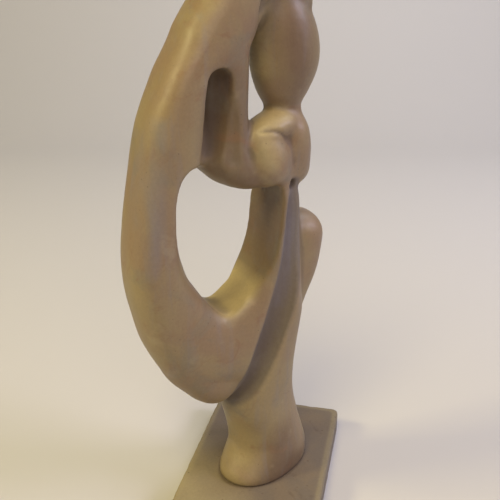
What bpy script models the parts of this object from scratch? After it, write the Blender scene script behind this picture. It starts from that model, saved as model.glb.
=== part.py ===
"""Abstract soapstone woman: a smooth carved figure with long looped hair, on a flat rectangular plinth.

Metres, +Z up. X runs across the figure, from the hair loop (-X) to the seat (+X), and Y runs through its
thickness, away from the viewer. The origin is the middle of the plinth's underside.
"""

import math

import bmesh
import bpy
from mathutils import Matrix, Vector

# Plinth
PLINTH_WIDTH = 0.078
PLINTH_LENGTH = 0.108
PLINTH_THICKNESS = 0.014
PLINTH_TURN = math.radians(-41)  # its short side, from the figure's X
PLINTH_CORNER_RADIUS = 0.004
PLINTH_CORNER_STEPS = 5
PLINTH_EDGE_RADIUS = 0.001
SEAT_GAP = 0.0003

# Figure. Its carving keeps its proportions: hundredths of its height, from the middle of its sole.
FIGURE_HEIGHT = 0.276
SHARE = FIGURE_HEIGHT / 100
FINE_GRID = 0.42 * SHARE
SOFTEN_PASSES = 7
CREASE_SOFTEN_PASSES = 2
FIGURE_TRIANGLES = 9200
RING_SIDES = 32
PATH_STEPS = 4
DOME_STEPS = 5
DOME_LEAN = math.radians(88)  # the last ring of a limb's domed end
OPENING_REACH = 12  # hundredths, each way from the middle of the thickness

# Limbs: x, y, z, half width and half depth of their rounded sections.
HAIR_LOOP = [
    (5.4, 0.3, 90.6, 2.8, 4.2),
    (3.0, 0.2, 94.6, 3.9, 5.0),
    (-1.4, 0.0, 95.1, 4.7, 5.8),
    (-5.6, 0.0, 92.4, 5.2, 6.3),
    (-8.6, 0.0, 88.0, 5.7, 6.5),
    (-11.2, 0.0, 83.7, 5.9, 6.5),
    (-15.1, 0.0, 79.6, 4.2, 6.5),
    (-16.6, 0.0, 75.5, 4.7, 6.5),
    (-17.7, 0.0, 71.0, 5.4, 6.5),
    (-18.6, 0.0, 66.0, 5.7, 6.5),
    (-20.4, 0.0, 60.5, 5.0, 6.5),
    (-22.1, 0.0, 54.0, 4.3, 6.5),
    (-22.1, 0.0, 48.0, 4.8, 6.5),
    (-20.8, 0.0, 42.0, 5.7, 6.5),
    (-17.6, 0.0, 35.4, 7.4, 6.5),
    (-12.4, 0.0, 30.4, 9.2, 6.5),
    (-6.2, 0.0, 30.8, 9.2, 6.5),
    (-0.6, 0.0, 36.6, 7.6, 6.5),
    (0.6, 0.0, 43.5, 5.2, 6.5),
    (1.0, 0.0, 51.0, 3.6, 6.5),
]
LAP_TIP = [
    (-16.8, 0.0, 34.0, 6.8, 6.0),
    (-14.4, 0.0, 28.6, 7.1, 6.0),
    (-12.2, 0.0, 24.6, 6.1, 5.8),
    (-11.0, 0.0, 23.2, 5.8, 5.7),
]
TORSO = [
    (2.6, 0.0, 36.0, 5.0, 6.3),
    (2.0, 0.0, 43.0, 5.0, 6.4),
    (1.2, 0.0, 50.0, 5.3, 6.5),
    (0.8, 0.0, 57.0, 5.5, 6.5),
    (1.0, 0.0, 60.5, 4.8, 5.6),
]
FOOT = [
    (-0.9, -1.2, -1.0, 10.4, 6.9),
    (-0.7, -1.2, 0.8, 10.9, 7.2),
    (0.0, -0.9, 3.0, 9.9, 7.2),
    (0.7, -0.6, 5.6, 8.7, 7.3),
    (0.8, -0.3, 8.5, 7.6, 7.0),
]
STEM = [
    (1.1, -0.4, -1.0, 7.6, 7.0),
    (1.2, -0.4, 3.2, 8.2, 7.4),
    (0.6, -0.2, 7.3, 7.8, 7.1),
    (-0.1, 0.0, 10.5, 7.6, 6.9),
    (-1.1, 0.0, 15.0, 7.8, 6.6),
    (-1.0, 0.0, 20.0, 7.3, 6.4),
    (0.1, 0.0, 27.0, 6.5, 6.3),
    (1.8, 0.0, 35.0, 5.4, 6.3),
]
SEAT = [
    (2.9, 1.5, 30.0, 3.8, 4.6),
    (5.1, 1.8, 37.0, 4.5, 5.0),
    (7.1, 1.9, 42.5, 4.9, 5.2),
    (8.3, 1.9, 48.4, 4.8, 5.0),
]
HEAD = [
    (3.6, 0.0, 71.0, 3.2, 3.4),
    (3.5, 0.0, 73.4, 3.1, 3.3),
    (3.5, 0.0, 76.2, 4.6, 4.6),
    (3.8, 0.0, 80.0, 6.0, 5.6),
    (3.8, 0.0, 84.0, 6.2, 5.7),
    (3.2, 0.0, 88.0, 5.7, 5.3),
    (2.2, 0.2, 92.0, 4.6, 4.4),
]
COLLAR = [
    (3.4, -0.4, 70.7, 2.8, 4.0),
    (1.0, -1.8, 71.2, 2.8, 3.9),
    (-1.8, -2.3, 70.5, 2.7, 3.9),
    (-4.2, -2.0, 68.9, 2.3, 3.4),
]
SHOULDER = [
    (-1.0, -2.4, 64.4, 4.6, 4.7),
    (-1.2, -2.3, 65.8, 4.6, 4.6),
    (-2.6, -2.2, 68.4, 3.6, 4.6),
]
BACK = [
    (4.7, 0.6, 63.2, 3.9, 5.2),
    (4.5, 0.4, 66.5, 4.1, 5.6),
    (4.1, 0.2, 70.0, 3.9, 5.2),
    (3.9, 0.2, 72.5, 3.0, 3.8),
]
ARM_BACK = [
    (1.0, 0.4, 63.4, 3.6, 4.0),
    (-3.0, 0.4, 63.6, 4.2, 4.4),
    (-6.0, 0.4, 64.6, 4.6, 4.8),
    (-8.8, 0.8, 66.4, 4.3, 4.6),
    (-11.4, 1.2, 69.0, 3.4, 4.0),
]
ARM = [
    (2.0, -0.6, 63.3, 3.6, 4.6),
    (-2.0, -0.6, 63.4, 4.1, 5.0),
    (-5.2, -0.5, 63.9, 4.3, 5.1),
    (-7.3, -0.4, 66.2, 4.2, 5.0),
    (-8.0, -0.3, 70.5, 4.1, 4.9),
    (-8.1, -0.3, 75.5, 4.0, 5.1),
    (-8.2, -0.3, 80.0, 4.1, 5.7),
    (-8.2, 0.0, 85.0, 4.2, 6.3),
]
RECESS_FLOOR = [
    (-10.2, 2.2, 66.0, 3.2, 3.6),
    (-10.2, 2.2, 82.0, 3.2, 3.6),
]
STEM_TURN = math.radians(20)

# The big opening inside the loop: x, z of its outline.
LOOP_OPENING = [
    (0.6, 60.5), (0.4, 54.5), (-0.3, 49.2), (-1.9, 45.0), (-5.0, 41.0), (-8.9, 37.3), (-12.8, 40.6),
    (-16.2, 45.8), (-19.0, 53.0), (-19.3, 60.5), (-17.4, 65.2), (-14.0, 65.6), (-9.5, 61.4), (-3.5, 60.2),
]

# Carved hollows: the same five numbers, the path lying on the front face.
LAP_CHANNEL = [
    (3.9, -5.6, 62.0, 1.3, 1.9),
    (3.5, -6.2, 57.0, 2.1, 2.0),
    (3.2, -6.5, 50.0, 2.4, 2.1),
    (2.8, -6.8, 45.5, 2.7, 2.3),
    (1.8, -7.0, 40.5, 3.1, 2.4),
    (-0.5, -7.0, 33.5, 3.0, 2.5),
    (-3.7, -7.0, 25.8, 2.9, 2.6),
    (-6.2, -6.6, 20.8, 2.8, 2.9),
    (-8.7, -5.4, 17.8, 2.5, 3.0),
    (-10.9, -3.8, 15.8, 2.0, 2.9),
]
SHOULDER_CREASE = [
    (-4.2, -6.1, 70.3, 0.25, 0.9),
    (-3.0, -6.2, 70.6, 0.4, 1.3),
    (-1.2, -6.1, 70.4, 0.4, 1.3),
    (0.6, -5.8, 69.6, 0.35, 1.1),
    (1.8, -5.4, 68.6, 0.3, 0.9),
]
ARM_RECESS = [
    (-13.2, -5.4, 62.5, 1.8, 2.6),
    (-12.5, -5.6, 66.0, 2.3, 3.4),
    (-11.6, -5.8, 70.0, 2.5, 4.3),
    (-11.1, -5.8, 75.0, 2.5, 4.5),
    (-11.0, -5.8, 79.3, 2.2, 4.1),
]
ARM_SLOPE = [
    (-8.9, -6.5, 66.0, 2.2, 1.5),
    (-8.9, -6.4, 72.0, 2.4, 1.7),
    (-8.8, -6.7, 78.0, 2.2, 1.5),
    (-8.6, -7.3, 83.0, 2.0, 1.3),
]
ARMPIT = [
    (3.4, -5.4, 61.4, 0.8, 1.7),
    (3.3, -5.4, 60.9, 0.8, 1.7),
]
BROW_HOLLOW = [
    (-3.6, -5.4, 84.5, 0.8, 1.2),
    (-2.7, -5.4, 88.0, 1.5, 1.9),
    (-2.0, -5.4, 91.0, 1.9, 2.3),
    (0.2, -5.2, 93.4, 1.4, 1.8),
    (3.8, -4.8, 93.6, 0.9, 1.3),
    (7.0, -4.2, 91.8, 0.6, 1.0),
]


def clear_scene():
    for obj in list(bpy.data.objects):
        bpy.data.objects.remove(obj)


def finish(name, color, roughness):
    material = bpy.data.materials.new(name)
    material.use_nodes = True
    shader = material.node_tree.nodes["Principled BSDF"]
    shader.inputs["Base Color"].default_value = (*color, 1)
    shader.inputs["Roughness"].default_value = roughness
    return material


def add_object(name, bm, material=None):
    mesh = bpy.data.meshes.new(name)
    bmesh.ops.recalc_face_normals(bm, faces=bm.faces)
    bm.to_mesh(mesh)
    bm.free()
    obj = bpy.data.objects.new(name, mesh)
    bpy.context.scene.collection.objects.link(obj)
    if material:
        mesh.materials.append(material)
    return obj


def helper(obj):
    obj.hide_render = True
    obj.display_type = "WIRE"
    return obj


def between(before, start, end, after, t):
    """A point on the smooth curve from start to end (Catmull-Rom)."""
    bend = 2 * before - 5 * start + 4 * end - after
    turn = 3 * start - before - 3 * end + after
    return 0.5 * (2 * start + (end - before) * t + bend * t * t + turn * t**3)


def smooth_path(stations):
    """More stations on a smooth curve through the given ones."""
    rows = [Vector(s) for s in stations]
    rows = [2 * rows[0] - rows[1]] + rows + [2 * rows[-1] - rows[-2]]
    found = []
    for before, start, end, after in zip(rows, rows[1:], rows[2:], rows[3:]):
        found += [between(before, start, end, after, i / PATH_STEPS) for i in range(PATH_STEPS)]
    return found + [rows[-2]]


def smooth_outline(points):
    """Points on a smooth closed curve through the given ones."""
    rows = [Vector(p) for p in points]
    count = len(rows)
    found = []
    for k in range(count):
        near = [rows[(k + j - 1) % count] for j in range(4)]
        found += [between(*near, i / PATH_STEPS) for i in range(PATH_STEPS)]
    return found


def placed(stations):
    """Stations in metres, on the plinth."""
    lift = Vector((0, 0, PLINTH_THICKNESS + SEAT_GAP))
    return [(*(Vector(s[:3]) * SHARE + lift), s[3] * SHARE, s[4] * SHARE) for s in stations]


def section(bm, centre, across, depth_way, half_width, half_depth, square):
    """The edges of one cross-section: an ellipse where square is 2, with fuller corners where it is more."""
    made = bmesh.ops.create_circle(bm, segments=RING_SIDES, radius=1)
    edges = list({edge for vertex in made["verts"] for edge in vertex.link_edges})
    for vertex in made["verts"]:
        c, s = vertex.co.x, vertex.co.y
        size = (abs(c) ** square + abs(s) ** square) ** (1 / square)
        vertex.co = centre + across * (half_width * c / size) + depth_way * (half_depth * s / size)
    return edges


def limb(bm, stations, square=2.0, turn=0.0, level=False):
    """A rounded limb along a smooth path, with domed ends.

    turn swings its depth from Y, and level keeps its sections horizontal.
    """
    rows = smooth_path(placed(stations))
    centres = [Vector(row[:3]) for row in rows]
    last = len(rows) - 1
    depth_axis = Matrix.Rotation(turn, 3, "Z") @ Vector((0, 1, 0))

    def ring(k, lean):
        """The section at row k, or one of its dome's rings, leaning by an angle past the path's end."""
        way = (centres[min(k + 1, last)] - centres[max(k - 1, 0)]).normalized()
        if level:
            way = Vector((0, 0, 1))
        across = depth_axis.cross(way).normalized()
        reach = min(rows[k][3], rows[k][4]) * math.sin(lean)
        narrow = math.cos(lean)
        centre = centres[k] + way * reach
        half_width, half_depth = (size * narrow for size in rows[k][3:])
        return section(bm, centre, across, way.cross(across), half_width, half_depth, square)

    leans = [DOME_LEAN * i / DOME_STEPS for i in range(1, DOME_STEPS + 1)]
    rings = [ring(0, -lean) for lean in reversed(leans)]
    rings += [ring(k, 0) for k in range(last + 1)]
    rings += [ring(last, lean) for lean in leans]
    for lower, upper in zip(rings, rings[1:]):
        bmesh.ops.bridge_loops(bm, edges=lower + upper)
    for end in (rings[0], rings[-1]):
        bmesh.ops.contextual_create(bm, geom=end)


def limb_cutter(name, stations):
    bm = bmesh.new()
    limb(bm, stations)
    return helper(add_object(name, bm))


def opening_cutter(name, points):
    """The loop's opening, as a straight cut through the thickness."""
    deep = OPENING_REACH * SHARE
    sole = PLINTH_THICKNESS + SEAT_GAP
    bm = bmesh.new()
    outline = [bm.verts.new((p.x * SHARE, -deep, p.y * SHARE + sole)) for p in smooth_outline(points)]
    made = bmesh.ops.extrude_face_region(bm, geom=[bm.faces.new(outline)])
    moved = [part for part in made["geom"] if isinstance(part, bmesh.types.BMVert)]
    bmesh.ops.translate(bm, verts=moved, vec=(0, 2 * deep, 0))
    return helper(add_object(name, bm))


def sole_cutter():
    """A block whose top is the plane of the figure's sole."""
    side = FIGURE_HEIGHT
    top = PLINTH_THICKNESS + SEAT_GAP
    bm = bmesh.new()
    bmesh.ops.create_cube(bm, size=side, matrix=Matrix.Translation((0, 0, top - side / 2)))
    return helper(add_object("sole_cutter", bm))


def add_cut(obj, cutter):
    boolean = obj.modifiers.new("Cut " + cutter.name, "BOOLEAN")
    boolean.operation = "DIFFERENCE"
    boolean.object = cutter


def triangle_count(obj):
    """The triangles of its surface, with its modifiers so far."""
    mesh = obj.evaluated_get(bpy.context.evaluated_depsgraph_get()).to_mesh()
    mesh.calc_loop_triangles()
    return len(mesh.loop_triangles)


def add_remesh(obj, name):
    remesh = obj.modifiers.new(name, "REMESH")
    remesh.mode = "VOXEL"
    remesh.voxel_size = FINE_GRID


def add_rubbing(obj, name, passes):
    soften = obj.modifiers.new(name, "SMOOTH")
    soften.iterations = passes


def figure_body(material):
    """All the masses of the figure, fused into one skin."""
    bm = bmesh.new()
    limb(bm, HAIR_LOOP, square=2.6)
    limb(bm, LAP_TIP, square=2.4)
    limb(bm, TORSO, level=True)
    limb(bm, FOOT, square=2.2, turn=STEM_TURN, level=True)
    limb(bm, STEM, square=2.2, turn=STEM_TURN, level=True)
    limb(bm, SEAT, square=2.6)
    limb(bm, HEAD, level=True)
    limb(bm, COLLAR)
    limb(bm, SHOULDER)
    limb(bm, BACK, square=2.2, level=True)
    limb(bm, ARM_BACK)
    limb(bm, ARM)
    limb(bm, RECESS_FLOOR)
    figure = add_object("woman_figure", bm, material)
    add_remesh(figure, "Fuse")
    return figure


def build_figure(material):
    figure = figure_body(material)
    add_cut(figure, opening_cutter("loop_opening_cutter", LOOP_OPENING))
    add_cut(figure, limb_cutter("lap_channel_cutter", LAP_CHANNEL))
    add_cut(figure, limb_cutter("arm_recess_cutter", ARM_RECESS))
    add_cut(figure, limb_cutter("arm_slope_cutter", ARM_SLOPE))
    add_cut(figure, limb_cutter("brow_hollow_cutter", BROW_HOLLOW))
    add_remesh(figure, "Even out")
    add_rubbing(figure, "Rub down", SOFTEN_PASSES)
    add_cut(figure, limb_cutter("shoulder_crease_cutter", SHOULDER_CREASE))
    add_cut(figure, limb_cutter("armpit_cutter", ARMPIT))
    add_remesh(figure, "Even out the creases")
    add_rubbing(figure, "Rub the creases", CREASE_SOFTEN_PASSES)
    ratio = FIGURE_TRIANGLES / triangle_count(figure)
    thin = figure.modifiers.new("Thin out", "DECIMATE")
    thin.ratio = ratio
    add_cut(figure, sole_cutter())
    return figure


def build_plinth(material):
    size = (PLINTH_WIDTH, PLINTH_LENGTH, PLINTH_THICKNESS, 1)
    middle = Matrix.Translation((0, 0, PLINTH_THICKNESS / 2))
    bm = bmesh.new()
    bmesh.ops.create_cube(bm, size=1, matrix=middle @ Matrix.Diagonal(size))
    upright = [edge for edge in bm.edges if abs(edge.verts[0].co.z - edge.verts[1].co.z) > PLINTH_EDGE_RADIUS]
    bmesh.ops.bevel(
        bm, geom=upright, offset=PLINTH_CORNER_RADIUS, segments=PLINTH_CORNER_STEPS,
        profile=0.5, affect="EDGES", material=-1,
    )
    plinth = add_object("plinth", bm, material)
    edges = plinth.modifiers.new("Worn edges", "BEVEL")
    edges.width = PLINTH_EDGE_RADIUS
    edges.segments = 2
    plinth.rotation_euler.z = PLINTH_TURN
    return plinth


def main():
    clear_scene()
    stone = finish("soapstone", (0.30, 0.22, 0.14), 0.45)
    base_stone = finish("plinth_stone", (0.22, 0.18, 0.14), 0.6)
    build_figure(stone)
    build_plinth(base_stone)


main()
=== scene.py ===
"""Looks of an abstract soapstone woman on a plinth: fine carved skin, stone materials, light and camera.

Metres, +Z up, in the frame of the solids. X runs across the figure, from the hair loop (-X) to the seat (+X),
and -Y is its carved front.
"""

import math

import bmesh
import bpy
import numpy as np
from mathutils import Matrix, Vector, noise

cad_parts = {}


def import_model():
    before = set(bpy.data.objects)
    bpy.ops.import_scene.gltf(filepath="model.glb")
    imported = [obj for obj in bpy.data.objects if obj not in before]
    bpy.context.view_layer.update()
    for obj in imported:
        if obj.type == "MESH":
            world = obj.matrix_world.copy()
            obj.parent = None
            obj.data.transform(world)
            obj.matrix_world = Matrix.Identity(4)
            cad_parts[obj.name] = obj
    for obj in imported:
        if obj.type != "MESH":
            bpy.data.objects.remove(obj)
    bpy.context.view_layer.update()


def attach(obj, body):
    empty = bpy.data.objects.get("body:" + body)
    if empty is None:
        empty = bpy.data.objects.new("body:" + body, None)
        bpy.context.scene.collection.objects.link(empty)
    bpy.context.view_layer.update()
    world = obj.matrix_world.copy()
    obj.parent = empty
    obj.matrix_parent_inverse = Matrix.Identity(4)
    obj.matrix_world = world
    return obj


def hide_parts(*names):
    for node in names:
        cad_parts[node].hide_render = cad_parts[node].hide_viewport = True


# Plinth
PLINTH_WIDTH = 0.078
PLINTH_LENGTH = 0.108
PLINTH_THICKNESS = 0.014
PLINTH_TURN = math.radians(-41)  # its short side, from the figure's X
PLINTH_CORNER_RADIUS = 0.004
PLINTH_CORNER_STEPS = 5
PLINTH_EDGE_RADIUS = 0.001
PLINTH_EDGE_STEPS = 3
PLINTH_GRID = 0.0009
SEAT_GAP = 0.0003

# Figure. Its carving keeps its proportions: hundredths of its height, from the middle of its sole.
FIGURE_HEIGHT = 0.276
SHARE = FIGURE_HEIGHT / 100
SOLE = PLINTH_THICKNESS + SEAT_GAP
FINE_GRID = 0.00095
SOFTEN_PASSES = 11
POCKET_SOFTEN_PASSES = 3
RING_SIDES = 48
PATH_STEPS = 6
DOME_STEPS = 7
DOME_LEAN = math.radians(88)  # the last ring of a limb's domed end
OPENING_REACH = 12  # hundredths, each way from the middle of the thickness
STEM_TURN = math.radians(20)

# Limbs: x, y, z, half width and half depth of their rounded sections.
HAIR_LOOP = [
    (5.4, 0.3, 90.6, 2.8, 4.2),
    (3.0, 0.2, 94.6, 3.9, 5.0),
    (-1.4, 0.0, 95.1, 4.7, 5.8),
    (-5.6, 0.0, 92.4, 5.2, 6.3),
    (-8.6, 0.0, 88.0, 5.7, 6.5),
    (-11.2, 0.0, 83.7, 5.9, 6.5),
    (-15.1, 0.0, 79.6, 4.2, 6.5),
    (-16.6, 0.0, 75.5, 4.7, 6.5),
    (-17.7, 0.0, 71.0, 5.4, 6.5),
    (-18.6, 0.0, 66.0, 5.7, 6.5),
    (-20.4, 0.0, 60.5, 5.0, 6.5),
    (-22.1, 0.0, 54.0, 4.3, 6.5),
    (-22.1, 0.0, 48.0, 4.8, 6.5),
    (-20.8, 0.0, 42.0, 5.7, 6.5),
    (-17.6, 0.0, 35.4, 7.4, 6.5),
    (-12.4, 0.0, 30.4, 9.2, 6.5),
    (-6.2, 0.0, 30.8, 9.2, 6.5),
    (-0.6, 0.0, 36.6, 7.6, 6.5),
    (0.6, 0.0, 43.5, 5.2, 6.5),
    (1.0, 0.0, 51.0, 3.6, 6.5),
]
LAP_TIP = [
    (-16.8, 0.0, 34.0, 6.8, 6.0),
    (-14.4, 0.0, 28.6, 7.1, 6.0),
    (-12.2, 0.0, 24.6, 6.1, 5.8),
    (-11.0, 0.0, 23.2, 5.8, 5.7),
]
TORSO = [
    (2.6, 0.0, 36.0, 5.0, 6.3),
    (2.0, 0.0, 43.0, 5.0, 6.4),
    (1.2, 0.0, 50.0, 5.3, 6.5),
    (0.8, 0.0, 57.0, 5.5, 6.5),
    (1.0, 0.0, 60.5, 4.8, 5.6),
]
FOOT = [
    (-0.5, -1.2, -1.0, 10.0, 6.9),
    (-0.3, -1.2, 0.8, 10.4, 7.2),
    (0.2, -0.9, 3.0, 9.4, 7.2),
    (0.7, -0.6, 5.4, 8.1, 7.1),
    (0.5, -0.3, 7.6, 7.1, 6.9),
]
STEM = [
    (1.1, -0.4, -1.0, 7.6, 7.0),
    (1.2, -0.4, 3.2, 8.2, 7.4),
    (0.6, -0.2, 7.3, 7.8, 7.1),
    (-0.1, 0.0, 10.5, 7.6, 6.9),
    (-1.1, 0.0, 15.0, 7.8, 6.6),
    (-1.0, 0.0, 20.0, 7.3, 6.4),
    (0.1, 0.0, 27.0, 6.5, 6.3),
    (1.8, 0.0, 35.0, 5.4, 6.3),
]
SEAT = [
    (2.9, 1.5, 30.0, 3.8, 4.6),
    (5.1, 1.8, 37.0, 4.5, 5.0),
    (7.1, 1.9, 42.5, 4.9, 5.2),
    (8.3, 1.9, 48.4, 4.8, 5.0),
]
HEAD = [
    (3.6, 0.0, 71.0, 3.2, 3.4),
    (3.5, 0.0, 73.4, 3.1, 3.3),
    (3.5, 0.0, 76.2, 4.6, 4.6),
    (3.8, 0.0, 80.0, 6.0, 5.6),
    (3.8, 0.0, 84.0, 6.2, 5.7),
    (3.2, 0.0, 88.0, 5.7, 5.3),
    (2.2, 0.2, 92.0, 4.6, 4.4),
]
COLLAR = [
    (3.4, -0.4, 70.6, 2.8, 4.0),
    (1.0, -1.8, 70.8, 2.7, 3.9),
    (-1.8, -2.3, 69.8, 2.6, 3.9),
    (-4.0, -2.0, 68.2, 2.2, 3.4),
]
SHOULDER = [
    (-1.0, -2.4, 64.4, 4.6, 4.7),
    (-1.2, -2.4, 65.8, 4.6, 4.6),
    (-1.6, -2.3, 67.2, 4.2, 4.4),
]
BACK = [
    (4.8, 0.6, 62.7, 4.0, 5.2),
    (4.5, 0.4, 66.5, 4.1, 5.6),
    (4.1, 0.2, 70.0, 3.9, 5.2),
    (3.9, 0.2, 72.5, 3.0, 3.8),
]
ARM_BACK = [
    (1.0, 0.4, 63.4, 3.6, 4.0),
    (-3.0, 0.4, 63.6, 4.2, 4.4),
    (-6.0, 0.4, 64.6, 4.6, 4.8),
    (-8.8, 0.8, 66.4, 4.3, 4.6),
    (-11.4, 1.2, 69.0, 3.4, 4.0),
]
ARM = [
    (2.0, -0.6, 63.3, 3.6, 4.6),
    (-2.0, -0.6, 63.4, 4.1, 5.0),
    (-5.2, -0.5, 63.9, 4.3, 5.1),
    (-7.3, -0.4, 66.2, 4.2, 5.0),
    (-8.0, -0.3, 70.5, 4.1, 4.9),
    (-8.1, -0.3, 75.5, 4.0, 5.1),
    (-8.2, -0.3, 80.0, 4.1, 5.7),
    (-8.2, 0.0, 85.0, 4.2, 6.3),
]
RECESS_FLOOR = [
    (-10.2, 2.2, 66.0, 3.2, 3.6),
    (-10.2, 2.2, 82.0, 3.2, 3.6),
]

# The big opening inside the loop: x, z of its outline.
LOOP_OPENING = [
    (0.6, 60.5), (0.4, 54.5), (-0.3, 49.2), (-1.9, 45.0), (-5.0, 40.8), (-9.4, 37.2), (-13.2, 40.2),
    (-16.2, 45.8), (-19.0, 53.0), (-19.3, 60.5), (-17.4, 65.2), (-14.0, 65.6), (-9.5, 61.4), (-3.5, 60.2),
]

# Carved hollows: the same five numbers, the path lying on the front face.
LAP_CHANNEL = [
    (3.8, -5.9, 60.2, 1.4, 1.6),
    (3.6, -6.2, 56.5, 2.1, 1.8),
    (3.2, -6.5, 50.0, 2.4, 1.9),
    (2.8, -6.8, 45.5, 2.7, 2.2),
    (1.8, -7.0, 40.5, 3.1, 2.4),
    (-0.5, -7.0, 33.5, 3.0, 2.5),
    (-3.8, -7.0, 25.8, 2.6, 2.6),
    (-6.5, -6.6, 20.9, 2.1, 2.8),
    (-8.8, -5.4, 18.3, 1.7, 2.8),
    (-10.9, -3.8, 16.8, 1.4, 2.7),
]
ARM_RECESS = [
    (-13.2, -5.4, 62.5, 1.8, 2.6),
    (-12.5, -5.6, 66.0, 2.3, 3.4),
    (-11.6, -5.8, 70.0, 2.5, 4.3),
    (-11.1, -5.8, 75.0, 2.5, 4.5),
    (-11.0, -5.8, 79.3, 2.2, 4.1),
]
ARM_SLOPE = [
    (-9.7, -6.0, 66.0, 2.6, 1.8),
    (-9.7, -5.9, 72.0, 2.9, 2.0),
    (-9.8, -6.3, 75.5, 2.4, 1.6),
    (-9.9, -7.0, 78.0, 1.6, 1.2),
]
ARMPIT = [
    (3.4, -5.6, 60.7, 0.9, 1.9),
    (3.2, -5.6, 60.2, 0.9, 1.9),
]
BROW_HOLLOW = [
    (-3.6, -5.4, 84.5, 0.8, 1.2),
    (-2.7, -5.4, 88.0, 1.5, 1.9),
    (-2.0, -5.4, 91.0, 1.9, 2.3),
    (0.2, -5.2, 93.4, 1.4, 1.8),
    (3.8, -4.8, 93.6, 0.9, 1.3),
    (7.0, -4.2, 91.8, 0.6, 1.0),
]

# Bands on the skin, seen from the front: x, z and half width.
# The shoulder crease is pressed in a little and darkened with painted shade, as is the armpit pocket.
SHOULDER_CREASE = [
    (-3.6, 70.5, 0.1), (-2.6, 70.7, 0.3), (-1.2, 70.6, 0.35), (0.2, 70.0, 0.3), (1.4, 69.0, 0.1),
]
# Painted shade: on the face, in the forearm's recess, down the torso beside the opening and on the front of
# the foot.
SHADE_BANDS = [
    [(3.4, 92.0, 3.2), (3.4, 84.0, 3.4), (3.6, 77.0, 2.6)],
    [(-9.0, 80.0, 3.0), (-9.2, 74.0, 4.2), (-9.0, 68.0, 4.6), (-6.4, 63.0, 2.8)],
    [(0.6, 58.0, 2.0), (0.2, 52.0, 2.2), (-0.6, 46.0, 1.4)],
    [(1.5, 9.0, 2.5), (0.5, 4.0, 4.5), (0.0, 1.0, 5.0)],
]
# Painted warm light: on the collar and shoulder, down the face's left edge and on the floor of the opening.
LIT_BANDS = [
    [(1.6, 72.4, 1.2), (-1.8, 70.6, 1.8), (-2.4, 67.4, 2.2), (-2.0, 65.4, 1.6)],
    [(-1.8, 92.0, 0.3), (-2.4, 86.0, 0.4), (-2.0, 80.0, 0.4)],
]
LIT_HOLE_FLOOR = [(-10.5, 36.8, 2.4), (-7.4, 38.2, 2.6), (-4.4, 41.0, 2.0)]
# Painted cool sheen: down the hair's left flank and at the top of the lap channel.
SHEEN_BANDS = [
    [
        (-21.0, 73.0, 0.3), (-22.0, 68.5, 0.8), (-23.0, 64.0, 1.1),
        (-23.5, 59.7, 1.1), (-23.7, 55.9, 0.8), (-24.6, 49.5, 0.4),
    ],
    [(2.2, 58.5, 0.2), (2.8, 52.8, 1.0), (2.8, 48.0, 1.2), (2.2, 43.0, 0.8), (1.1, 38.0, 0.2)],
]

# Surface of the carving: wavelength and height of each order of unevenness left by the rasp and the rubbing.
RUBBED_WAVES = [(0.034, 0.00035), (0.013, 0.00012), (0.005, 0.00003)]
WAVE_SHIFT = Vector((7.3, 1.9, 4.1))
SOLE_CALM = 4 * FINE_GRID  # the unevenness fades out towards the flat sole
HOLLOW_REACH_PASSES = 18
HOLLOW_DEPTH = 0.0006  # reads as a full hollow, or as a full ridge below zero
CREASE_DEPTH = 0.0007
CREASE_EDGE = 0.002
CHANNEL_EDGE = 0.002
SHEEN_EDGE = 0.010
SHADE_EDGE = 0.012
LIT_EDGE = 0.008
LIT_WAY = (-0.5, 0.0, 0.5)  # painted light where the stone faces up and to the left
LIT_LEVEL = 0.35
RIM_DEPTH = 0.016  # the painted light on the hole's floor starts behind its front rim
RIM_EDGE = 0.004
# Painted contact shadow round the foot, on the figure and on the plinth.
CONTACT_SHADOW_HEIGHT = 0.0016
CONTACT_SHADOW_OUTSET = 0.4  # hundredths of the figure's height
CONTACT_SHADOW_SHARE = 0.06  # of the foot's half width
LIT_LEFT_FROM = -0.018  # painted warm light: the plinth is paler from here to the left
LIT_LEFT_REACH = 0.032
CHIP_SIZE = 0.006
CHIP_LEVEL = 0.1
CHIP_DEPTH = 0.0005
CHIP_CLEARANCE = 0.002  # no chips this near the floor
FIGURE_WAX = 0.10
FIGURE_WAX_ROUGHNESS = 0.32
PLINTH_WAX = 0.04
PLINTH_WAX_ROUGHNESS = 0.4

# Colours, linear
TAN = (0.272, 0.206, 0.108)
PINK_BROWN = (0.245, 0.162, 0.098)
GREY_BROWN = (0.200, 0.166, 0.114)
DARK_BROWN = (0.085, 0.057, 0.037)
SHADE_BROWN = (0.150, 0.094, 0.058)
RUST = (0.220, 0.122, 0.066)
PALE_TALC = (0.360, 0.290, 0.170)
LIT_TAN = (0.560, 0.455, 0.220)
BLUE_GREY = (0.208, 0.190, 0.210)
CHANNEL_SHADE = (0.150, 0.122, 0.098)
PLINTH_BROWN = (0.165, 0.124, 0.084)
PLINTH_GREY = (0.140, 0.112, 0.086)
PLINTH_PALE = (0.360, 0.300, 0.160)
FLOOR_CREAM = (0.580, 0.567, 0.558)

# View
CAMERA_PLACE = (-0.1655, -0.2968, 0.284)
CAMERA_PITCH = math.radians(67.5)
CAMERA_TURN = math.radians(-28)
SENSOR = 36
LENS = SENSOR * 710 / 500
AIM = (-0.01, 0.0, 0.15)
CLIP_START = 0.01

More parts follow.
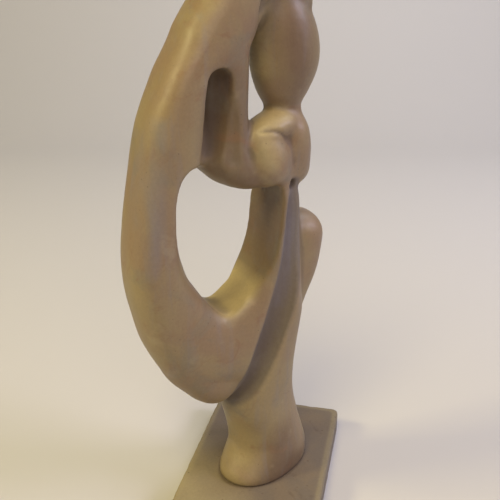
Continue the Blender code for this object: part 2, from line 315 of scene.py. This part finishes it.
# Lamps: name, azimuth and elevation in degrees from straight in front, watts, size and colour
LAMP_DISTANCE = 1.3
LAMPS = [
    ("warm_key", -50, 58, 9.2, 0.50, (1.0, 0.84, 0.42)),
    ("soft_front", -22, 32, 3.4, 0.55, (0.92, 0.84, 0.94)),
    ("cool_right", 54, 30, 8.0, 0.40, (0.84, 0.78, 1.0)),
    ("warm_edge", -105, 32, 8.0, 0.30, (1.0, 0.86, 0.42)),
]
WASH_PLACE = (0.55, 0.05, 1.0)
WASH_AIM = (0.45, 1.2, 0.35)
WASH_POWER = 7.0
WASH_SIZE = 0.60
WASH_COLOR = (0.84, 0.86, 1.0)
FILL_COLOR = (0.95, 0.94, 0.92)
FILL_STRENGTH = 0.06

# Floor and backdrop: one sweep
FLOOR_ROUGHNESS = 0.7
SWEEP_FRONT = -2.5
SWEEP_DEPTH = 0.75
SWEEP_RADIUS = 0.5
SWEEP_STEPS = 24
SWEEP_HEIGHT = 3.0
SWEEP_HALF_WIDTH = 3.0


def between(before, start, end, after, t):
    """A point on the smooth curve from start to end (Catmull-Rom)."""
    bend = 2 * before - 5 * start + 4 * end - after
    turn = 3 * start - before - 3 * end + after
    return 0.5 * (2 * start + (end - before) * t + bend * t * t + turn * t**3)


def smooth_path(stations):
    """More stations on a smooth curve through the given ones."""
    rows = [Vector(s) for s in stations]
    rows = [2 * rows[0] - rows[1]] + rows + [2 * rows[-1] - rows[-2]]
    found = []
    for before, start, end, after in zip(rows, rows[1:], rows[2:], rows[3:]):
        found += [between(before, start, end, after, i / PATH_STEPS) for i in range(PATH_STEPS)]
    return found + [rows[-2]]


def smooth_outline(points):
    """Points on a smooth closed curve through the given ones."""
    rows = [Vector(p) for p in points]
    count = len(rows)
    found = []
    for k in range(count):
        near = [rows[(k + j - 1) % count] for j in range(4)]
        found += [between(*near, i / PATH_STEPS) for i in range(PATH_STEPS)]
    return found


def placed(stations):
    """Stations in metres, on the plinth."""
    lift = Vector((0, 0, SOLE))
    return [(*(Vector(s[:3]) * SHARE + lift), s[3] * SHARE, s[4] * SHARE) for s in stations]


def seen_from_front(stations):
    """A carved path as a band: x, z and half width."""
    return [(x, z, half_width) for x, _, z, half_width, _ in stations]


def section(bm, centre, across, depth_way, half_width, half_depth, square):
    """The edges of one cross-section: an ellipse where square is 2, with fuller corners where it is more."""
    made = bmesh.ops.create_circle(bm, segments=RING_SIDES, radius=1)
    edges = list({edge for vertex in made["verts"] for edge in vertex.link_edges})
    for vertex in made["verts"]:
        c, s = vertex.co.x, vertex.co.y
        size = (abs(c) ** square + abs(s) ** square) ** (1 / square)
        vertex.co = centre + across * (half_width * c / size) + depth_way * (half_depth * s / size)
    return edges


def limb(bm, stations, square=2.0, turn=0.0, level=False):
    """A rounded limb along a smooth path, with domed ends.

    turn swings its depth from Y, and level keeps its sections horizontal.
    """
    rows = smooth_path(placed(stations))
    centres = [Vector(row[:3]) for row in rows]
    last = len(rows) - 1
    depth_axis = Matrix.Rotation(turn, 3, "Z") @ Vector((0, 1, 0))

    def ring(k, lean):
        """The section at row k, or one of its dome's rings, leaning by an angle past the path's end."""
        way = (centres[min(k + 1, last)] - centres[max(k - 1, 0)]).normalized()
        if level:
            way = Vector((0, 0, 1))
        across = depth_axis.cross(way).normalized()
        reach = min(rows[k][3], rows[k][4]) * math.sin(lean)
        narrow = math.cos(lean)
        centre = centres[k] + way * reach
        half_width, half_depth = (size * narrow for size in rows[k][3:])
        return section(bm, centre, across, way.cross(across), half_width, half_depth, square)

    leans = [DOME_LEAN * i / DOME_STEPS for i in range(1, DOME_STEPS + 1)]
    rings = [ring(0, -lean) for lean in reversed(leans)]
    rings += [ring(k, 0) for k in range(last + 1)]
    rings += [ring(last, lean) for lean in leans]
    for lower, upper in zip(rings, rings[1:]):
        bmesh.ops.bridge_loops(bm, edges=lower + upper)
    for end in (rings[0], rings[-1]):
        bmesh.ops.contextual_create(bm, geom=end)


def add_object(name, bm):
    mesh = bpy.data.meshes.new(name)
    bmesh.ops.recalc_face_normals(bm, faces=bm.faces)
    bm.to_mesh(mesh)
    bm.free()
    obj = bpy.data.objects.new(name, mesh)
    bpy.context.scene.collection.objects.link(obj)
    return obj


def limb_cutter(name, stations):
    bm = bmesh.new()
    limb(bm, stations)
    return add_object(name, bm)


def opening_cutter(name, points):
    """The loop's opening, as a straight cut through the thickness."""
    deep = OPENING_REACH * SHARE
    bm = bmesh.new()
    outline = [bm.verts.new((p.x * SHARE, -deep, p.y * SHARE + SOLE)) for p in smooth_outline(points)]
    made = bmesh.ops.extrude_face_region(bm, geom=[bm.faces.new(outline)])
    moved = [part for part in made["geom"] if isinstance(part, bmesh.types.BMVert)]
    bmesh.ops.translate(bm, verts=moved, vec=(0, 2 * deep, 0))
    return add_object(name, bm)


def add_remesh(obj, name, grid):
    remesh = obj.modifiers.new(name, "REMESH")
    remesh.mode = "VOXEL"
    remesh.voxel_size = grid


def add_rubbing(obj, name, passes):
    soften = obj.modifiers.new(name, "SMOOTH")
    soften.iterations = passes


def bake(obj):
    """Replaces the object's mesh with what its modifiers make of it."""
    made = bpy.data.meshes.new_from_object(obj.evaluated_get(bpy.context.evaluated_depsgraph_get()))
    obj.modifiers.clear()
    obj.data = made


def carve(obj, cutters):
    for cutter in cutters:
        boolean = obj.modifiers.new("Cut " + cutter.name, "BOOLEAN")
        boolean.operation = "DIFFERENCE"
        boolean.object = cutter


def figure_mesh():
    """The carved figure as one fine skin, reaching a little below its sole."""
    bm = bmesh.new()
    limb(bm, HAIR_LOOP, square=2.6)
    limb(bm, LAP_TIP, square=2.4)
    limb(bm, TORSO, level=True)
    limb(bm, FOOT, square=2.2, turn=STEM_TURN, level=True)
    limb(bm, STEM, square=2.2, turn=STEM_TURN, level=True)
    limb(bm, SEAT, square=2.6)
    limb(bm, HEAD, level=True)
    limb(bm, COLLAR)
    limb(bm, SHOULDER)
    limb(bm, BACK, square=2.2, level=True)
    limb(bm, ARM_BACK)
    limb(bm, ARM)
    limb(bm, RECESS_FLOOR)
    figure = add_object("carved_figure", bm)
    add_remesh(figure, "Fuse", FINE_GRID)
    hollows = [
        opening_cutter("loop_opening_cutter", LOOP_OPENING),
        limb_cutter("lap_channel_cutter", LAP_CHANNEL),
        limb_cutter("arm_recess_cutter", ARM_RECESS),
        limb_cutter("arm_slope_cutter", ARM_SLOPE),
        limb_cutter("brow_hollow_cutter", BROW_HOLLOW),
    ]
    pocket = limb_cutter("armpit_cutter", ARMPIT)
    carve(figure, hollows)
    add_remesh(figure, "Even out", FINE_GRID)
    add_rubbing(figure, "Rub down", SOFTEN_PASSES)
    carve(figure, [pocket])
    add_remesh(figure, "Even out the pocket", FINE_GRID)
    add_rubbing(figure, "Rub the pocket", POCKET_SOFTEN_PASSES)
    bake(figure)
    for cutter in hollows + [pocket]:
        bpy.data.objects.remove(cutter)
    return figure


def flat_sole(obj):
    """Cuts the figure off flat where it meets the plinth."""
    bm = bmesh.new()
    bm.from_mesh(obj.data)
    whole = bm.verts[:] + bm.edges[:] + bm.faces[:]
    bmesh.ops.bisect_plane(bm, geom=whole, plane_co=(0, 0, SOLE), plane_no=(0, 0, 1), clear_inner=True)
    rim = [edge for edge in bm.edges if edge.is_boundary]
    bmesh.ops.contextual_create(bm, geom=rim)
    bm.to_mesh(obj.data)
    bm.free()


class Skin:
    """A mesh's vertices, normals and edges as arrays."""

    def __init__(self, mesh):
        self.mesh = mesh
        count = len(mesh.vertices)
        self.places = np.empty(count * 3, np.float32)
        mesh.vertices.foreach_get("co", self.places)
        self.places = self.places.reshape(-1, 3)
        self.normals = np.empty(count * 3, np.float32)
        mesh.vertex_normals.foreach_get("vector", self.normals)
        self.normals = self.normals.reshape(-1, 3)
        self.edges = np.empty(len(mesh.edges) * 2, np.int32)
        mesh.edges.foreach_get("vertices", self.edges)
        self.edges = self.edges.reshape(-1, 2)

    def averaged(self, values, passes):
        """The values smoothed over the neighbours."""
        count = len(values)
        near = np.concatenate([self.edges, self.edges[:, ::-1]])
        share = 1 / np.maximum(np.bincount(near[:, 0], minlength=count), 1)
        for _ in range(passes):
            columns = [np.bincount(near[:, 0], values[near[:, 1], k], count) for k in range(values.shape[1])]
            values = np.stack(columns, axis=1) * share[:, None]
        return values

    def hollows(self):
        """-1 on ridges and worn edges, 1 down in creases."""
        pull = self.averaged(self.places.astype(float), HOLLOW_REACH_PASSES) - self.places
        return np.clip((pull * self.normals).sum(axis=1) / HOLLOW_DEPTH, -1, 1)

    def within(self, band, edge):
        """1 inside a band seen from the front, 0 outside it, over an edge of that width."""
        nearest = np.full(len(self.places), np.inf)
        for row in smooth_path(band):
            x, z, half_width = row * SHARE
            gap = np.hypot(self.places[:, 0] - x, self.places[:, 2] - SOLE - z) - half_width
            nearest = np.minimum(nearest, gap)
        return np.clip(0.5 - nearest / edge, 0, 1)

    def within_any(self, bands, edge):
        return np.max([self.within(band, edge) for band in bands], axis=0)

    def push(self, heights):
        """Moves the vertices along their normals."""
        self.places = (self.places + self.normals * heights[:, None]).astype(np.float32)
        self.mesh.vertices.foreach_set("co", self.places.ravel())
        self.mesh.update()

    def keep(self, name, values):
        """Stores one number at each vertex, for the material."""
        attribute = self.mesh.attributes.new(name, "FLOAT", "POINT")
        attribute.data.foreach_set("value", np.asarray(values, np.float32))


def rubbed_waves(places):
    """The shallow unevenness of a surface rasped and rubbed smooth by hand."""
    heights = np.zeros(len(places))
    for order, (wavelength, height) in enumerate(RUBBED_WAVES):
        waves = [noise.noise(Vector(place) / wavelength + WAVE_SHIFT * order) for place in places]
        heights += height * np.array(waves)
    return heights


def smooth_shaded(mesh):
    mesh.polygons.foreach_set("use_smooth", [True] * len(mesh.polygons))


def build_figure(material):
    """The carved figure, with its hollows and its bands of painted light, shade and sheen marked on the skin.
    """
    figure = figure_mesh()
    flat_sole(figure)
    skin = Skin(figure.data)
    above_sole = np.clip((skin.places[:, 2] - SOLE) / SOLE_CALM, 0, 1)
    in_front = skin.places[:, 1] < 0
    shaded_crease = in_front * skin.within(SHOULDER_CREASE, CREASE_EDGE)
    skin.push(rubbed_waves(skin.places) * above_sole - shaded_crease * CREASE_DEPTH)
    skin = Skin(figure.data)
    skin.keep("hollow", skin.hollows())
    pocket = in_front * skin.within(seen_from_front(ARMPIT), CREASE_EDGE)
    skin.keep("shaded_crease", np.maximum(shaded_crease, pocket))
    skin.keep("channel", in_front * skin.within(seen_from_front(LAP_CHANNEL), CHANNEL_EDGE))
    skin.keep("painted_sheen", in_front * skin.within_any(SHEEN_BANDS, SHEEN_EDGE))
    skin.keep("painted_shade", skin.within_any(SHADE_BANDS, SHADE_EDGE))
    # painted warm light, on surfaces facing up and to the left
    faces_light = np.clip(skin.normals @ LIT_WAY + LIT_LEVEL, 0, 1)
    behind_rim = np.clip((skin.places[:, 1] + RIM_DEPTH) / RIM_EDGE, 0, 1)
    painted_light = np.maximum(skin.within_any(LIT_BANDS, LIT_EDGE), behind_rim * skin.within(LIT_HOLE_FLOOR, LIT_EDGE))
    skin.keep("painted_light", faces_light * painted_light)
    skin.keep("contact_shadow", np.clip(1 - (skin.places[:, 2] - SOLE) / CONTACT_SHADOW_HEIGHT, 0, 1))
    figure.data.materials.clear()
    figure.data.materials.append(material)
    smooth_shaded(figure.data)
    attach(figure, "root")
    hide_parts("woman_figure")
    return figure


class Value:
    """A shader socket that takes part in arithmetic."""

    def __init__(self, tree, socket):
        self.tree = tree
        self.socket = socket

    def maths(self, operation, first, second):
        return add_node(self.tree, "ShaderNodeMath", {"operation": operation}, {0: first, 1: second})

    def __add__(self, other):
        return self.maths("ADD", self, other)

    def __radd__(self, other):
        return self.maths("ADD", other, self)

    def __sub__(self, other):
        return self.maths("SUBTRACT", self, other)

    def __rsub__(self, other):
        return self.maths("SUBTRACT", other, self)

    def __mul__(self, other):
        return self.maths("MULTIPLY", self, other)

    def __rmul__(self, other):
        return self.maths("MULTIPLY", other, self)

    def rise(self, low, high):
        """0 below low, 1 above high, smooth between. It falls where low is more than high."""
        settings = {"interpolation_type": "SMOOTHSTEP"}
        inputs = {"Value": self, "From Min": low, "From Max": high}
        return add_node(self.tree, "ShaderNodeMapRange", settings, inputs)


def add_node(tree, kind, settings=None, inputs=None, output=0):
    """One node of that kind, with its settings and its inputs' values, as the Value of one output."""
    node = tree.nodes.new(kind)
    for name, value in (settings or {}).items():
        setattr(node, name, value)
    for name, value in (inputs or {}).items():
        if isinstance(value, Value):
            tree.links.new(value.socket, node.inputs[name])
        else:
            node.inputs[name].default_value = value
    return Value(tree, node.outputs[output])


class Stone:
    """A stone material being put together from layers."""

    def __init__(self, name, color):
        self.material = bpy.data.materials.new(name)
        self.material.use_nodes = True
        self.tree = self.material.node_tree
        self.shader = self.tree.nodes["Principled BSDF"]
        self.places = self.node("ShaderNodeTexCoord", output="Object")
        self.color = (*color, 1)

    def node(self, kind, settings=None, inputs=None, output=0):
        return add_node(self.tree, kind, settings, inputs, output)

    def attribute(self, name):
        return self.node("ShaderNodeAttribute", {"attribute_name": name}, output="Fac")

    def stretched(self, factors, turn=(0, 0, 0)):
        """The places, scaled along each axis and turned, to draw a pattern out."""
        inputs = {"Vector": self.places, "Scale": factors, "Rotation": turn}
        return self.node("ShaderNodeMapping", inputs=inputs)

    def cloud(self, size, detail=3.0, roughness=0.55, distortion=0.0, places=None):
        """Soft noise with blotches of about that size in metres."""
        values = {"Vector": places or self.places, "Scale": 1 / size, "Detail": detail}
        values.update({"Roughness": roughness, "Distortion": distortion})
        return self.node("ShaderNodeTexNoise", inputs=values)

    def specks(self, size, places=None):
        """The distance to the nearest of many scattered points, in their spacing."""
        return self.node("ShaderNodeTexVoronoi", inputs={"Vector": places or self.places, "Scale": 1 / size})

    def tint(self, mask, color):
        """Lays a colour over what is there, where the mask says."""
        inputs = {0: mask, 6: self.color, 7: (*color, 1)}
        self.color = self.node("ShaderNodeMix", {"data_type": "RGBA"}, inputs, output=2)

    def shade(self, factor):
        """Multiplies the colour by a brightness."""
        grey = self.node("ShaderNodeCombineColor", inputs={0: factor, 1: factor, 2: factor})
        settings = {"data_type": "RGBA", "blend_type": "MULTIPLY"}
        self.color = self.node("ShaderNodeMix", settings, {0: 1.0, 6: self.color, 7: grey}, output=2)

    def done(self, roughness, height, coat, coat_roughness):
        """Sets the finish: roughness, a height in metres for the fine relief, and a constant wax coat."""
        self.tree.links.new(self.color.socket, self.shader.inputs["Base Color"])
        self.tree.links.new(roughness.socket, self.shader.inputs["Roughness"])
        bump = self.node("ShaderNodeBump", inputs={"Height": height, "Distance": 1.0, "Strength": 1.0})
        self.tree.links.new(bump.socket, self.shader.inputs["Normal"])
        self.shader.inputs["Coat Weight"].default_value = coat
        self.shader.inputs["Coat Roughness"].default_value = coat_roughness
        return self.material


def soapstone():
    """Warm brown soapstone, rubbed and waxed.

    It has pink and grey clouding, rust, veins and blue-grey streaks, with painted shade on the face, forearm,
    torso band, foot, lap channel, creases, hollows and base, painted warm light where it faces up and to the
    left, and a painted cool sheen on the hair and channel.
    """
    stone = Stone("soapstone", TAN)
    hollow = stone.attribute("hollow")
    channel = stone.attribute("channel")
    stone.tint(stone.cloud(0.055, 4.0, distortion=0.6).rise(0.42, 0.62) * 0.8, PINK_BROWN)
    # painted shade on the face, forearm, torso band and foot
    stone.tint(stone.attribute("painted_shade") * (0.55 + stone.cloud(0.02, 4.0) * 0.5), SHADE_BROWN)
    stone.tint(stone.cloud(0.030, 5.0, 0.6, 0.8).rise(0.52, 0.68) * 0.6, GREY_BROWN)
    stone.tint(stone.cloud(0.018, 4.0, 0.6, 1.2).rise(0.58, 0.72) * 0.55, RUST)
    stone.tint(stone.cloud(0.022, 3.0, 0.6).rise(0.40, 0.28) * 0.4, PALE_TALC)
    streaks = stone.cloud(0.012, 4.0, 0.55, 0.5, stone.stretched((2.2, 1.0, 0.28), (0.0, 0.25, 0.0)))
    stone.tint(streaks.rise(0.52, 0.72) * 0.22, BLUE_GREY)
    # painted warm light where the stone faces the warm lamp
    stone.tint(stone.attribute("painted_light") * (0.5 + stone.cloud(0.015, 4.0) * 0.6), LIT_TAN)
    vein = stone.cloud(0.045, 5.0, 0.5, 1.6) - 0.5
    ridge = stone.node("ShaderNodeMath", {"operation": "ABSOLUTE"}, {0: vein})
    stone.tint(ridge.rise(0.03, 0.0) * stone.cloud(0.03).rise(0.50, 0.65) * 0.25, RUST)
    # painted shade down in the lap channel
    stone.tint(channel * 0.85, CHANNEL_SHADE)
    # painted cool sheen, broken into streaks
    stone.tint(stone.attribute("painted_sheen") * streaks.rise(0.20, 0.60) * 0.85, BLUE_GREY)
    # painted shade, darker deeper in the hollows
    stone.tint(hollow.rise(0.15, 0.9) * 0.45, DARK_BROWN)
    # painted shade in the shoulder crease and the armpit pocket
    stone.tint(stone.attribute("shaded_crease").rise(0.2, 1.0) * 0.6, DARK_BROWN)
    # painted contact shadow just above the sole
    stone.tint(stone.attribute("contact_shadow").rise(0.1, 0.9) * 0.6, DARK_BROWN)
    stone.tint(hollow.rise(-0.3, -1.0) * 0.12, PALE_TALC)
    grain = stone.cloud(0.0016, 3.0, 0.7)
    stone.shade(0.86 + grain * 0.28)
    dark_specks = stone.specks(0.0032).rise(0.13, 0.05) * stone.cloud(0.01).rise(0.5, 0.6)
    stone.tint(dark_specks * 0.6, DARK_BROWN)
    roughness = 0.42 + stone.cloud(0.02, 4.0) * 0.16 + channel * 0.25 + hollow.rise(0.1, 0.8) * 0.15
    scratches = stone.cloud(0.0011, 2.0, 0.5, 0.0, stone.stretched((1.0, 1.0, 0.12), (0.5, 0.3, 0.0)))
    height = (
        stone.cloud(0.0035, 4.0, 0.6) * 0.00010
        + scratches * 0.00003
        + grain * 0.00002
        + stone.cloud(0.0022, 3.0, 0.6) * channel * 0.00025
        - dark_specks * 0.00004
    )
    return stone.done(roughness, height, FIGURE_WAX, FIGURE_WAX_ROUGHNESS)


def plinth_stone():
    """Darker grey-brown stone with a sawn and rubbed face."""
    stone = Stone("plinth_stone", PLINTH_BROWN)
    stone.tint(stone.cloud(0.035, 5.0, 0.6, 0.6).rise(0.42, 0.62) * 0.8, PLINTH_GREY)
    stone.tint(stone.cloud(0.012, 4.0, 0.6, 1.0).rise(0.60, 0.74) * 0.45, DARK_BROWN)
    hollow = stone.attribute("hollow")
    stone.tint(hollow.rise(-0.1, -0.7) * 0.3, PLINTH_PALE)
    # painted warm light, paler towards the left
    stone.tint(stone.attribute("lit_left") * (0.4 + stone.cloud(0.02, 4.0) * 0.6), PLINTH_PALE)
    # painted contact shadow round the foot
    stone.tint(stone.attribute("contact_shadow") * 0.75, DARK_BROWN)
    grain = stone.cloud(0.0014, 3.0, 0.7)
    stone.shade(0.82 + grain * 0.36)
    turned = (0.0, 0.0, -PLINTH_TURN)
    saw_marks = stone.cloud(0.0022, 2.0, 0.5, 0.0, stone.stretched((1.0, 0.06, 1.0), turned))
    pits = stone.specks(0.0045).rise(0.16, 0.04) * stone.cloud(0.012).rise(0.48, 0.6)
    stone.tint(pits * 0.6, DARK_BROWN)
    roughness = 0.5 + stone.cloud(0.015, 3.0) * 0.2 + pits * 0.2
    height = stone.cloud(0.005, 4.0, 0.6) * 0.00012 + saw_marks * 0.00006 + grain * 0.00003 - pits * 0.00015
    return stone.done(roughness, height, PLINTH_WAX, PLINTH_WAX_ROUGHNESS)


def foot_contact_shadow(places):
    """1 in the painted contact shadow along the edge of the foot, 0 elsewhere."""
    x, y, _, half_width, half_depth = FOOT[0]
    turned_back = np.array(Matrix.Rotation(-STEM_TURN, 2))
    flat = (places[:, :2] / SHARE - (x, y)) @ turned_back.T
    reach = np.hypot(flat[:, 0] / (half_width + CONTACT_SHADOW_OUTSET), flat[:, 1] / (half_depth + CONTACT_SHADOW_OUTSET))
    return np.clip(1 - np.abs(reach - 1) / CONTACT_SHADOW_SHARE, 0, 1)


def build_plinth(material):
    """The slab, with edges worn by handling and small chips along them."""
    size = (PLINTH_WIDTH, PLINTH_LENGTH, PLINTH_THICKNESS, 1)
    middle = Matrix.Translation((0, 0, PLINTH_THICKNESS / 2))
    turn = Matrix.Rotation(PLINTH_TURN, 4, "Z")
    bm = bmesh.new()
    bmesh.ops.create_cube(bm, size=1, matrix=turn @ middle @ Matrix.Diagonal(size))
    upright = [edge for edge in bm.edges if abs(edge.verts[0].co.z - edge.verts[1].co.z) > PLINTH_EDGE_RADIUS]
    bmesh.ops.bevel(
        bm, geom=upright, offset=PLINTH_CORNER_RADIUS, segments=PLINTH_CORNER_STEPS,
        profile=0.5, affect="EDGES", material=-1,
    )
    plinth = add_object("plinth_slab", bm)
    edges = plinth.modifiers.new("Worn edges", "BEVEL")
    edges.width = PLINTH_EDGE_RADIUS
    edges.segments = PLINTH_EDGE_STEPS
    add_remesh(plinth, "Fine skin", PLINTH_GRID)
    bake(plinth)
    skin = Skin(plinth.data)
    hollow = skin.hollows()
    chips = np.array([noise.noise(Vector(place) / CHIP_SIZE) for place in skin.places])
    wear = np.clip(-hollow, 0, 1) * np.clip(chips - CHIP_LEVEL, 0, 1)
    clear_of_floor = np.clip(skin.places[:, 2] / CHIP_CLEARANCE, 0, 1)
    skin.push(-CHIP_DEPTH * wear * clear_of_floor)
    skin.keep("hollow", hollow)
    skin.keep("lit_left", np.clip((LIT_LEFT_FROM - skin.places[:, 0]) / LIT_LEFT_REACH, 0, 1))
    skin.keep("contact_shadow", foot_contact_shadow(skin.places))
    plinth.data.materials.clear()
    plinth.data.materials.append(material)
    smooth_shaded(plinth.data)
    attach(plinth, "root")
    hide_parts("plinth")
    return plinth


def floor_material():
    material = bpy.data.materials.new("pale_floor")
    material.use_nodes = True
    shader = material.node_tree.nodes["Principled BSDF"]
    shader.inputs["Base Color"].default_value = (*FLOOR_CREAM, 1)
    shader.inputs["Roughness"].default_value = FLOOR_ROUGHNESS
    return material


def build_floor():
    """A pale floor that sweeps up into a backdrop, square to the camera."""
    arc = [math.radians(90) * i / SWEEP_STEPS for i in range(SWEEP_STEPS + 1)]
    bend = [(SWEEP_DEPTH + SWEEP_RADIUS * math.sin(a), SWEEP_RADIUS * (1 - math.cos(a))) for a in arc]
    profile = [(SWEEP_FRONT, 0.0)] + bend + [(SWEEP_DEPTH + SWEEP_RADIUS, SWEEP_HEIGHT)]
    turn = Matrix.Rotation(CAMERA_TURN, 4, "Z")
    bm = bmesh.new()
    line = [bm.verts.new(turn @ Vector((-SWEEP_HALF_WIDTH, y, z))) for y, z in profile]
    edges = [bm.edges.new(pair) for pair in zip(line, line[1:])]
    made = bmesh.ops.extrude_edge_only(bm, edges=edges)
    moved = [part for part in made["geom"] if isinstance(part, bmesh.types.BMVert)]
    bmesh.ops.translate(bm, verts=moved, vec=turn @ Vector((2 * SWEEP_HALF_WIDTH, 0, 0)))
    floor = add_object("floor_sweep", bm)
    floor.data.materials.append(floor_material())
    smooth_shaded(floor.data)


def around(azimuth, elevation):
    """A place at the lamps' distance from the figure, at angles in degrees from straight in front."""
    turn = math.radians(azimuth)
    rise = math.radians(elevation)
    way = Vector((math.sin(turn) * math.cos(rise), -math.cos(turn) * math.cos(rise), math.sin(rise)))
    return Vector(AIM) + way * LAMP_DISTANCE


def add_light(name, place, aim, power, size, color):
    """A square lamp."""
    light = bpy.data.lights.new(name, "AREA")
    light.energy = power
    light.size = size
    light.color = color
    obj = bpy.data.objects.new(name, light)
    obj.location = place
    obj.rotation_mode = "QUATERNION"
    obj.rotation_quaternion = (Vector(place) - Vector(aim)).to_track_quat("Z", "Y")
    bpy.context.scene.collection.objects.link(obj)


def build_lights():
    """Warm lamps on the left, cooler ones in front and to the right, a washed backdrop and a little fill."""
    for name, azimuth, elevation, power, size, color in LAMPS:
        add_light(name, around(azimuth, elevation), AIM, power, size, color)
    add_light("backdrop_wash", WASH_PLACE, WASH_AIM, WASH_POWER, WASH_SIZE, WASH_COLOR)
    world = bpy.data.worlds.new("studio")
    bpy.context.scene.world = world
    world.use_nodes = True
    background = world.node_tree.nodes["Background"]
    background.inputs["Color"].default_value = (*FILL_COLOR, 1)
    background.inputs["Strength"].default_value = FILL_STRENGTH


def build_camera():
    camera = bpy.data.cameras.new("photo_view")
    camera.sensor_width = SENSOR
    camera.lens = LENS
    camera.clip_start = CLIP_START
    obj = bpy.data.objects.new("photo_view", camera)
    obj.location = CAMERA_PLACE
    obj.rotation_euler = (CAMERA_PITCH, 0, CAMERA_TURN)
    bpy.context.scene.collection.objects.link(obj)
    bpy.context.scene.camera = obj


def plain_colours():
    """Shows the colours without a film curve, as a phone's picture does."""
    bpy.context.scene.view_settings.view_transform = "Standard"


def main():
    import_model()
    build_camera()
    plain_colours()
    build_lights()
    build_floor()
    build_figure(soapstone())
    build_plinth(plinth_stone())


main()
